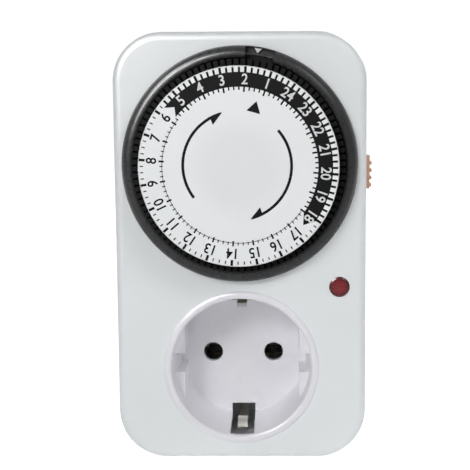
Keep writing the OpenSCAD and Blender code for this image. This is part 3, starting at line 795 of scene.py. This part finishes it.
def tick(inner: float, outer: float, width: float, angle: float) -> Outline:
    """A straight radial mark.

    Args:
        inner: Radius of its inner end.
        outer: Radius of its outer end.
        width: Its width.
        angle: Its angle, clockwise from the top.

    Returns:
        Its outline.
    """
    along = Vector(on_clock(1.0, angle))
    side = Vector((along.y, -along.x)) * (width / 2)
    ends = along * inner, along * outer
    corners = ends[0] - side, ends[1] - side, ends[1] + side, ends[0] + side
    return Outline([tuple(corner) for corner in corners])


def link_mesh(name: str, mesh: bmesh.types.BMesh) -> bpy.types.Object:
    """Turns a mesh into an object of the scene.

    Args:
        name: The object's name.
        mesh: The mesh, which is freed.

    Returns:
        The object.
    """
    bmesh.ops.recalc_face_normals(mesh, faces=mesh.faces)
    data = bpy.data.meshes.new(name)
    mesh.to_mesh(data)
    mesh.free()
    piece = bpy.data.objects.new(name, data)
    bpy.context.scene.collection.objects.link(piece)
    return piece


@dataclass(frozen=True)
class Ink:
    """A layer of ink on the dial's face.

    Attributes:
        centre: Centre of the dial.
        face_y: Plane of the dial's face.
        thickness: Thickness of the ink, in mm.
        sunk: How far the ink reaches into the face, as a share of its thickness.
        digit_rise: Half the thickness of the digits, as a share of the ink's.
        weight: How far a digit's stroke is widened, as a share of its height.
        capital: Height of the typeface's digits, as a share of its size.
        narrow: Width of the digits, as a share of the typeface's.
        spacing: Distance between two digits, as a share of the typeface's.
    """

    centre: Vector
    face_y: float
    thickness: float = 0.03
    sunk: float = 0.2
    digit_rise: float = 0.6
    weight: float = 0.022
    capital: float = 0.73
    narrow: float = 0.9
    spacing: float = 0.98

    def spot(self, point: Sequence[float], height: float) -> Vector:
        """A point of the ink.

        Args:
            point: x to the right and y up, from the dial's centre, in mm.
            height: Height above the dial's face, in mm.

        Returns:
            The point in the CAD frame.
        """
        middle = Vector((self.centre.x, self.face_y, self.centre.z))
        return middle + MM * Vector((point[0], -height, point[1]))

    def lay(self, name: str, outlines: Sequence[Outline], missing: float) -> bpy.types.Object:
        """Makes one piece from flat outlines.

        Args:
            name: The piece's name.
            outlines: What is printed.
            missing: How much thinner than a full layer it is, as a share.

        Returns:
            The piece.
        """
        mesh = bmesh.new()
        for outline in outlines:
            top = [mesh.verts.new(self.spot(p, self.thickness * (1 - missing))) for p in outline.points]
            foot = [mesh.verts.new(self.spot(p, -self.sunk * self.thickness)) for p in outline.points]
            count = len(top)
            upper, lower = mesh.faces.new(top), mesh.faces.new(list(reversed(foot)))
            for i in range(count):
                j = (i + 1) % count
                mesh.faces.new((top[j], top[i], foot[i], foot[j]))
            mesh.normal_update()
            bmesh.ops.triangulate(mesh, faces=[upper, lower], ngon_method="EAR_CLIP")
        return link_mesh(name, mesh)

    def write(self, name: str, words: Mapping[float, str], radius: float, height: float) -> bpy.types.Object:
        """Writes numbers round the dial, their tops outward.

        Args:
            name: The piece's name.
            words: The number at each angle, clockwise from the top.
            radius: Radius of the numbers' middle, in mm.
            height: Height of a digit, in mm.

        Returns:
            The piece.
        """
        mesh = bmesh.new()
        stand = Matrix.Rotation(math.radians(90), 4, "X")
        narrow = Matrix.Diagonal((self.narrow, 1, 1, 1))
        rise = self.thickness * self.digit_rise
        for angle, word in words.items():
            text = bpy.data.curves.new(name, "FONT")
            text.body = word
            text.align_x = "CENTER"
            text.align_y = "CENTER"
            text.size = height * MM / self.capital
            text.space_character = self.spacing
            text.offset = self.weight * height * MM
            text.extrude = rise * MM
            text.resolution_u = 3
            holder = bpy.data.objects.new(name, text)
            bpy.context.scene.collection.objects.link(holder)
            bpy.context.view_layer.update()
            glyphs = bpy.data.meshes.new_from_object(holder)
            turn = Matrix.Rotation(math.radians(angle), 4, "Y")
            move = Matrix.Translation(self.spot(on_clock(radius, angle), rise))
            glyphs.transform(move @ turn @ stand @ narrow)
            mesh.from_mesh(glyphs)
            bpy.data.objects.remove(holder)
            bpy.data.meshes.remove(glyphs)
        return link_mesh(name, mesh)


# ---------------------------------------------------------------------------------------- parts
@dataclass
class SubAssembly:
    """A group of CAD nodes that are made and dressed together.

    Attributes:
        frame: The loaded CAD frame.
        finishes: All finishes.
        slots: The material slot of each CAD node of the group.
    """

    frame: Mapping[str, Any]
    finishes: Finishes
    slots: ClassVar[Mapping[str, str]] = {}

    def make(self) -> None:
        """Dresses the CAD nodes and adds the group's own pieces."""
        for node, slot in self.slots.items():
            self.finishes.dress(self.frame["nodes"][node], slot)
            LOG.info("%s: finish %s", node, slot)
        self.add_pieces()

    def add_pieces(self) -> None:
        """Adds the pieces that only the scene has; most groups have none."""

    def add(self, piece: bpy.types.Object, body: str, slot: str) -> None:
        """Dresses a new piece and lets it ride on a body.

        Args:
            piece: The piece, in place.
            body: The body that it moves with.
            slot: Its material slot.
        """
        self.finishes.dress(piece, slot)
        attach(piece, body)
        LOG.info("%s: new piece on %s", piece.name, body)


@dataclass
class Housing(SubAssembly):
    """Both covers and their screws."""

    slots = {"front_cover": "housing", "rear_cover": "housing", "housing_screws": "steel"}


@dataclass(frozen=True)
class Marks:
    """The two radial marks at one time of day: inner radius, outer radius and width, in mm.

    Attributes:
        outside: The mark outside the numbers.
        inside: The mark inside the numbers.
    """

    outside: tuple[float, float, float]
    inside: tuple[float, float, float]

    def at(self, angle: float) -> list[Outline]:
        """Both marks at an angle clockwise from the top."""
        return [tick(*mark, angle) for mark in (self.outside, self.inside)]


@dataclass(frozen=True)
class Arrow:
    """A clockwise arrow: a round line and a head with one barb on its inner side.

    Lengths are in mm, and angles in degrees clockwise from the top.

    Attributes:
        start: Angle at which the line starts.
        tip: Angle of the arrow's tip.
        radius: Radius of the line.
        shift: Place of its centre from the dial's centre.
        head: Angle that the head covers.
        line: Width of the line.
        barb: How far the barb stands out.
    """

    start: float
    tip: float
    radius: float
    shift: tuple[float, float]
    head: float = 14.0
    line: float = 0.8
    barb: float = 1.6

    def outlines(self) -> list[Outline]:
        """The outlines of line and head."""
        neck = self.tip - self.head
        inner, outer = self.radius - self.line / 2, self.radius + self.line / 2
        back = [on_clock(outer, angle) for angle in sweep(neck, self.tip - 2.0, 3.0)]
        point = on_clock(self.radius + 0.2, self.tip)
        barb = [on_clock(inner - self.barb, neck - 1.0), on_clock(inner, neck)]
        pieces = band(inner, outer, self.start, neck), Outline([*back, point, *barb])
        return [piece.moved(self.shift) for piece in pieces]


@dataclass
class Dial(SubAssembly):
    """The turning dial: plate, wheel, tappets and the printed scale.

    Lengths are in mm, and angles in degrees clockwise from the top.

    Attributes:
        first_hour: Angle of the hour 0.
        hour: Angle from one hour to the next, which lies to its left.
        band_in: Inner radius of the band of numbers.
        band_out: Outer radius of the band of numbers.
        night_start: Angle at which the black band starts, with a notched end.
        night_end: Angle at which its sides end.
        night_tip: Angle of its pointed end.
        notch: Depth of the notch, as an angle.
        digit: Height of a digit.
        circle: Inner and outer radius of the thin circle inside the day hours.
        pointer: Radius and angle of each corner of the setting pointer.
        hour_marks: Marks at the hours.
        night_marks: Quarter-hour marks beside the black band.
        day_marks: Quarter-hour marks elsewhere.
        arrows: The two arrows that show which way the dial turns.
    """

    first_hour: float = 34.5
    hour: float = 15.0
    band_in: float = 22.4
    band_out: float = 26.5
    night_start: float = -51.0
    night_end: float = 125.3
    night_tip: float = 132.3
    notch: float = 4.6
    digit: float = 3.0
    circle: tuple[float, float] = (21.45, 21.62)
    pointer: tuple[tuple[float, float], ...] = ((19.1, 15.7), (16.0, 22.6), (16.0, 8.4))
    hour_marks: Marks = Marks(outside=(26.4, 28.1, 0.7), inside=(21.0, 22.5, 0.5))
    night_marks: Marks = Marks(outside=(26.4, 27.9, 0.6), inside=(21.5, 22.5, 0.42))
    day_marks: Marks = Marks(outside=(26.8, 27.7, 0.32), inside=(21.3, 22.2, 0.3))
    arrows: tuple[Arrow, ...] = (
        Arrow(start=233.0, tip=345.0, radius=15.1, shift=(-0.54, 0.5)),
        Arrow(start=49.0, tip=166.5, radius=15.2, shift=(-0.33, 0.28)),
    )
    slots = {
        "dial_plate": "dial_face",
        "dial_wheel": "dial_black",
        "dial_gear": "gear_plastic",
        "dial_axle": "steel",
        **{f"tappets_h{hour:02d}": "dial_black" for hour in range(1, 25)},
    }

    def hour_angle(self, hour: float) -> float:
        """Angle of an hour, from -180 to 180."""
        return (self.first_hour - self.hour * hour + 180.0) % 360.0 - 180.0

    def is_night(self, angle: float) -> bool:
        """Whether an angle lies beside the black band."""
        turned = (angle + 180.0) % 360.0 - 180.0
        return self.night_start < turned < self.night_end

    def night_band(self) -> Outline:
        """The black band behind the night hours, notched at one end and pointed at the other."""
        angles = sweep(self.night_start, self.night_end)
        middle = (self.band_in + self.band_out) / 2
        return Outline(
            [on_clock(self.band_out, angle) for angle in angles]
            + [on_clock(middle, self.night_tip)]
            + [on_clock(self.band_in, angle) for angle in reversed(angles)]
            + [on_clock(middle, self.night_start + self.notch)]
        )

    def marks(self) -> list[Outline]:
        """The hour and quarter-hour marks outside and inside the numbers."""
        marks = []
        for quarter in range(96):
            angle = self.hour_angle(quarter / 4)
            if quarter % 4 == 0:
                marks += self.hour_marks.at(angle)
            elif self.is_night(angle):
                marks += self.night_marks.at(angle)
            else:
                marks += self.day_marks.at(angle)
        return marks

    def day_circle(self) -> Outline:
        """The thin circle inside the day hours."""
        return band(*self.circle, self.night_end, self.night_start + 360.0)

    def add_pieces(self) -> None:
        """Adds all ink of the dial."""
        low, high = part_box("dial_plate")
        ink = Ink((low + high) / 2, low.y)
        hours = {hour: self.hour_angle(hour) for hour in range(1, 25)}
        night = {angle: str(hour) for hour, angle in hours.items() if self.is_night(angle)}
        day = {angle: str(hour) for hour, angle in hours.items() if not self.is_night(angle)}
        middle = (self.band_in + self.band_out) / 2
        arrows = [outline for arrow in self.arrows for outline in arrow.outlines()]
        pointer = Outline([on_clock(*corner) for corner in self.pointer])
        for name, outlines, missing in (
            ("night_band", [self.night_band()], 0.4),
            ("hour_marks", self.marks(), 0.2),
            ("day_circle", [self.day_circle()], 0.3),
            ("turning_arrows", arrows, 0.1),
            ("setting_pointer", [pointer], 0.1),
        ):
            self.add(ink.lay(name, outlines, missing), "dial", "dial_black")
        self.add(ink.write("day_numbers", day, middle, self.digit), "dial", "dial_black")
        self.add(ink.write("night_numbers", night, middle, self.digit), "dial", "print_white")


@dataclass
class Bezel(SubAssembly):
    """The ring round the dial and the mark in its window."""

    slots = {"bezel_ring": "bezel", "time_marker": "print_white"}


@dataclass
class Socket(SubAssembly):
    """The earthed socket and what lies behind its floor."""

    slots = {
        "socket_insert": "socket_plastic",
        "live_contact": "contact_brass",
        "neutral_contact": "contact_brass",
        "earth_strap": "earth_metal",
    }


@dataclass
class Plug(SubAssembly):
    """The pins and the side contacts of the plug."""

    slots = {"plug_pins": "pin_metal", "plug_earth_contact": "earth_metal"}


@dataclass
class Movement(SubAssembly):
    """Plates, gears and motor."""

    slots = {
        "front_plate": "plate_brass",
        "back_plate": "plate_brass",
        "movement_screws": "steel",
        "motor_housing": "motor_can",
        "motor_coil": "copper_wire",
        "motor_rotor": "magnet",
        "motor_leads": "wire_sleeve",
        "gear_1": "gear_plastic",
        "gear_2": "gear_plastic",
        "gear_3": "gear_plastic",
        "clutch_wheel": "gear_plastic",
        "clutch_pinion": "steel",
    }


@dataclass
class Switch(SubAssembly):
    """The contacts that the tappets work, and the slider beside them."""

    slots = {
        "switch_base": "dark_plastic",
        "trip_lever": "lever_plastic",
        "trip_pin": "steel",
        "moving_blade": "contact_brass",
        "fixed_blade": "contact_brass",
        "override_slider": "slider_orange",
    }


@dataclass
class Indicator(SubAssembly):
    """The red lens and the lamp behind it."""

    slots = {"indicator_lens": "lens_red", "neon_lamp": "lamp_glass", "neon_resistor": "resistor"}


# ---------------------------------------------------------------------------------------- studio
@dataclass(frozen=True)
class Lamp:
    """A soft rectangular lamp.

    Attributes:
        name: Its name.
        place: Where it hangs, in metres.
        aim: The point that it faces.
        size: Width and height, in metres.
        power: Its power in watts.
        gloss_only: Whether it only shows in glossy surfaces, as a reflector card would.
    """

    name: str
    place: Place
    aim: Place
    size: tuple[float, float]
    power: float
    gloss_only: bool = False

    def hang(self) -> None:
        """Adds the lamp to the scene."""
        data = bpy.data.lights.new(self.name, "AREA")
        data.shape = "RECTANGLE"
        data.size, data.size_y = self.size
        data.energy = self.power
        lamp = bpy.data.objects.new(self.name, data)
        bpy.context.scene.collection.objects.link(lamp)
        lamp.location = self.place
        lamp.rotation_mode = "QUATERNION"
        lamp.rotation_quaternion = (Vector(self.aim) - Vector(self.place)).to_track_quat("-Z", "Y")
        lamp.visible_camera = False
        lamp.visible_diffuse = not self.gloss_only


@dataclass(frozen=True)
class Viewpoint:
    """The camera's place and framing.

    Attributes:
        place: Where it stands, in mm.
        down: Tilt below the horizon, in degrees.
        left: Turn to the left of +Y, in degrees.
        roll: Turn about its own axis, in degrees.
        focal: Focal length over the width of the sensor.
        shift: Shift of the frame, in its widths.
        reach: Nearest and furthest distance that it sees, in metres.
    """

    place: Place = (10.5, -322.6, 80.0)
    down: float = 5.83
    left: float = 0.79
    roll: float = -0.34
    focal: float = 2.0
    shift: tuple[float, float] = (-0.06, -0.09)
    reach: tuple[float, float] = (0.01, 20.0)

    def set_up(self) -> None:
        """Adds the camera and makes it the scene's."""
        data = bpy.data.cameras.new("camera")
        data.lens = self.focal * data.sensor_width
        data.shift_x, data.shift_y = self.shift
        data.clip_start, data.clip_end = self.reach
        camera = bpy.data.objects.new("camera", data)
        bpy.context.scene.collection.objects.link(camera)
        down, left, roll = (math.radians(angle) for angle in (self.down, self.left, self.roll))
        ahead = Vector((-math.sin(left) * math.cos(down), math.cos(left) * math.cos(down), -math.sin(down)))
        right = ahead.cross(Vector((0, 0, 1))).normalized()
        up = right.cross(ahead)
        side = right * math.cos(roll) + up * math.sin(roll)
        top = up * math.cos(roll) - right * math.sin(roll)
        turn = Matrix((side, top, -ahead)).transposed().to_4x4()
        camera.matrix_world = Matrix.Translation(Vector(self.place) * MM) @ turn
        bpy.context.scene.camera = camera


@dataclass
class Studio:
    """Floor, backdrop, world, lamps and camera.

    Attributes:
        floor_z: Height of the floor.
        near: Front edge of the floor, as its y in metres.
        far: Where the floor starts to rise.
        bend: Radius of the bend between floor and backdrop.
        top: Height of the backdrop.
        half_width: From the middle to the floor's sides.
        glow: What the floor adds where the camera looks at it, so that it shows white.
        room: The room's soft light.
        lamps: The lamps.
        viewpoint: The camera.
    """

    floor_z: float
    near: float = -1.6
    far: float = 0.9
    bend: float = 0.6
    top: float = 2.4
    half_width: float = 2.2
    glow: Colour = (0.8, 0.8, 0.8)
    room: Colour = (0.12, 0.122, 0.126)
    lamps: tuple[Lamp, ...] = (
        Lamp("right lamp", (0.42, -0.5, 0.52), (0, -0.05, 0.05), (0.26, 0.26), 1.75),
        Lamp("front lamp", (-0.38, -0.8, 0.5), (0, -0.05, 0.04), (0.26, 0.26), 2.8),
        Lamp("back lamp", (0.36, 0.72, 0.45), (0, 0, 0.05), (0.4, 0.4), 5.0),
        Lamp("gloss lamp", (-0.315, -0.45, 0.375), (0, -0.05, 0.06), (0.4, 0.4), 17.0, gloss_only=True),
    )
    viewpoint: Viewpoint = Viewpoint()

    def profile(self) -> list[tuple[float, float]]:
        """The side view of floor and backdrop.

        Returns:
            Points of y and height above the floor, from the front edge to the top.
        """
        bend = [
            (self.far + self.bend * math.sin(turn), self.bend * (1 - math.cos(turn)))
            for turn in map(math.radians, sweep(0.0, 90.0, 6.0))
        ]
        return [(self.near, 0.0), *bend, (self.far + self.bend, self.top)]

    def paper(self) -> bpy.types.Material:
        """The matt pale material of floor and backdrop."""
        material = bpy.data.materials.new("floor")
        sheet = Sheet(material)
        place = sheet.place()
        fibres = sheet.noise(place, 1.5 * MM, detail=3.0)
        clouds = sheet.noise(place, 200 * MM)
        sheet.surface(
            {
                "Base Color": sheet.blend(clouds, (0.9, 0.9, 0.905), (0.93, 0.93, 0.93)),
                "Roughness": fibres * 0.1 + 0.75,
                "Emission Color": sheet.blend(sheet.looked_at(), BLACK, self.glow),
                "Emission Strength": 1.0,
                "Normal": sheet.bump(fibres, 0.01 * MM),
            }
        )
        return material

    def floor(self) -> None:
        """Adds a pale floor that sweeps up into a backdrop."""
        mesh = bmesh.new()
        left, right = (
            [mesh.verts.new((side, y, self.floor_z + rise)) for y, rise in self.profile()]
            for side in (-self.half_width, self.half_width)
        )
        for i in range(len(left) - 1):
            mesh.faces.new((left[i], right[i], right[i + 1], left[i + 1])).smooth = True
        piece = link_mesh("floor", mesh)
        piece.data.materials.append(self.paper())
        piece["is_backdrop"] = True

    def sky(self) -> None:
        """The room's soft light, and the white that camera, gloss and glass see."""
        world = bpy.data.worlds.new("room")
        bpy.context.scene.world = world
        sheet = Sheet(world)
        colour = sheet.blend(sheet.looked_at(), self.room, WHITE)
        light = sheet.node("ShaderNodeBackground", inputs={"Color": colour, "Strength": 1.0})
        sheet.node("ShaderNodeOutputWorld", inputs={"Surface": light})

    def build(self) -> None:
        """Sets up the whole studio."""
        bpy.context.scene.view_settings.view_transform = "Standard"
        self.viewpoint.set_up()
        self.floor()
        self.sky()
        for lamp in self.lamps:
            lamp.hang()
        LOG.info("studio: floor, room and %d lamps", len(self.lamps))


# ---------------------------------------------------------------------------------------- build
def make_finishes() -> Finishes:
    """Builds every finish of the object.

    Returns:
        The finishes, by slot.
    """
    low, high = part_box("front_cover")
    seam_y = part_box("rear_cover")[0].y
    plate_low, plate_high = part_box("dial_plate")
    lens_low, lens_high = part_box("indicator_lens")
    dial_centre = (plate_low + plate_high) / 2
    metal: dict[str, Any] = {"grain": Grain.BRUSHED, "depth": 0.004, "mottle": 0.08, "metallic": 1.0}
    sheet_metal: dict[str, Any] = {**metal, "texture": 0.3, "depth": 0.005}
    return Finishes(
        [
            HousingFinish(
                slot="housing", colour=(0.77, 0.797, 0.805), grain=Grain.SPARK, roughness=0.42,
                texture=0.3, depth=0.005, mottle=0.012, swing=0.15, half_width=high.x, low_z=low.z,
                high_z=high.z, seam_y=seam_y, front_y=low.y,
            ),
            DialFinish(
                slot="dial_face", colour=(0.84, 0.855, 0.86), grain=Grain.SPARK, roughness=0.38,
                texture=0.25, depth=0.003, mottle=0.01, centre=dial_centre,
                radius=(plate_high.x - plate_low.x) / 2,
            ),
            BezelFinish(
                slot="bezel", colour=(0.016, 0.0165, 0.0175), grain=Grain.POLISHED, roughness=0.27,
                depth=0.004, swing=0.1, scuffing=0.08, extra={"Specular IOR Level": 0.25},
                centre=dial_centre,
            ),
            Finish(
                "dial_black", (0.0045, 0.0045, 0.005), Grain.SPARK, roughness=0.6, texture=0.2,
                depth=0.003, extra={"Specular IOR Level": 0.05},
            ),
            Finish("print_white", (0.64, 0.645, 0.65), Grain.INK, roughness=0.5, depth=0.001),
            Finish("steel", (0.6, 0.6, 0.62), roughness=0.32, texture=0.25, soil=0.25, **metal),
            Finish("gear_plastic", (0.78, 0.75, 0.66), Grain.SPARK, roughness=0.4),
            Finish("plate_brass", (0.7, 0.58, 0.32), roughness=0.35, soil=0.3, **sheet_metal),
            Finish(
                "motor_can", (0.62, 0.63, 0.65), roughness=0.38, soil=0.2,
                **{**sheet_metal, "mottle": 0.06},
            ),
            Finish(
                "copper_wire", (0.62, 0.27, 0.12), Grain.WOUND, roughness=0.3, texture=0.2, depth=0.06,
                mottle=0.1, metallic=0.8, coat=0.4,
            ),
            Finish(
                "magnet", (0.11, 0.11, 0.12), Grain.SPARK, roughness=0.55, texture=0.4, depth=0.01,
                mottle=0.15, metallic=0.6,
            ),
            Finish("wire_sleeve", (0.1, 0.22, 0.5), Grain.POLISHED, roughness=0.4),
            Finish("dark_plastic", (0.06, 0.06, 0.07), Grain.SPARK, roughness=0.5),
            Finish("lever_plastic", (0.62, 0.17, 0.06), Grain.SPARK, roughness=0.42),
            # contact_brass: its near-black base colour is painted shade, so that the socket's pin holes read
            # dark; only its tarnish patches are real soiling.
            Finish("contact_brass", (0.05, 0.034, 0.018), roughness=0.45, texture=0.25, soil=0.4, **metal),
            Finish(
                "slider_orange", (0.62, 0.36, 0.25), Grain.SPARK, roughness=0.5, texture=0.25,
                mottle=0.06, soil=0.2,
            ),
            LensFinish(
                slot="lens_red", colour=(0.2, 0.009, 0.013), grain=Grain.FACETED, roughness=0.22,
                texture=0.7, depth=0.03, extra={"Specular IOR Level": 0.25},
                centre=(lens_low + lens_high) / 2, radius=(lens_high.x - lens_low.x) / 2,
            ),
            Finish(
                "lamp_glass", (0.9, 0.78, 0.7), Grain.POLISHED, roughness=0.05, depth=0.002,
                extra={"Transmission Weight": 0.85, "IOR": 1.5},
            ),
            Finish(
                "resistor", (0.55, 0.4, 0.24), Grain.SPARK, roughness=0.5, texture=0.2, depth=0.01,
                mottle=0.1,
            ),
            Finish(
                "socket_plastic", (0.79, 0.785, 0.82), Grain.SPARK, roughness=0.35, texture=0.3,
                depth=0.003, mottle=0.015, soil=0.05,
            ),
            Finish("earth_metal", (0.5, 0.49, 0.45), roughness=0.33, texture=0.2, soil=0.2, **metal),
            Finish(
                "pin_metal", (0.72, 0.71, 0.68), Grain.TURNED, roughness=0.2, texture=0.15, depth=0.004,
                mottle=0.05, metallic=1.0, soil=0.12,
            ),
        ]
    )


def main() -> None:
    """Builds the whole scene."""
    logging.basicConfig(level=logging.INFO, format="%(name)s: %(message)s")
    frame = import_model()
    cad_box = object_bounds()
    Studio(cad_box[0].z).build()
    finishes = make_finishes()
    for kind in (Housing, Dial, Bezel, Socket, Plug, Movement, Switch, Indicator):
        kind(frame, finishes).make()


if __name__ == "__main__":
    main()
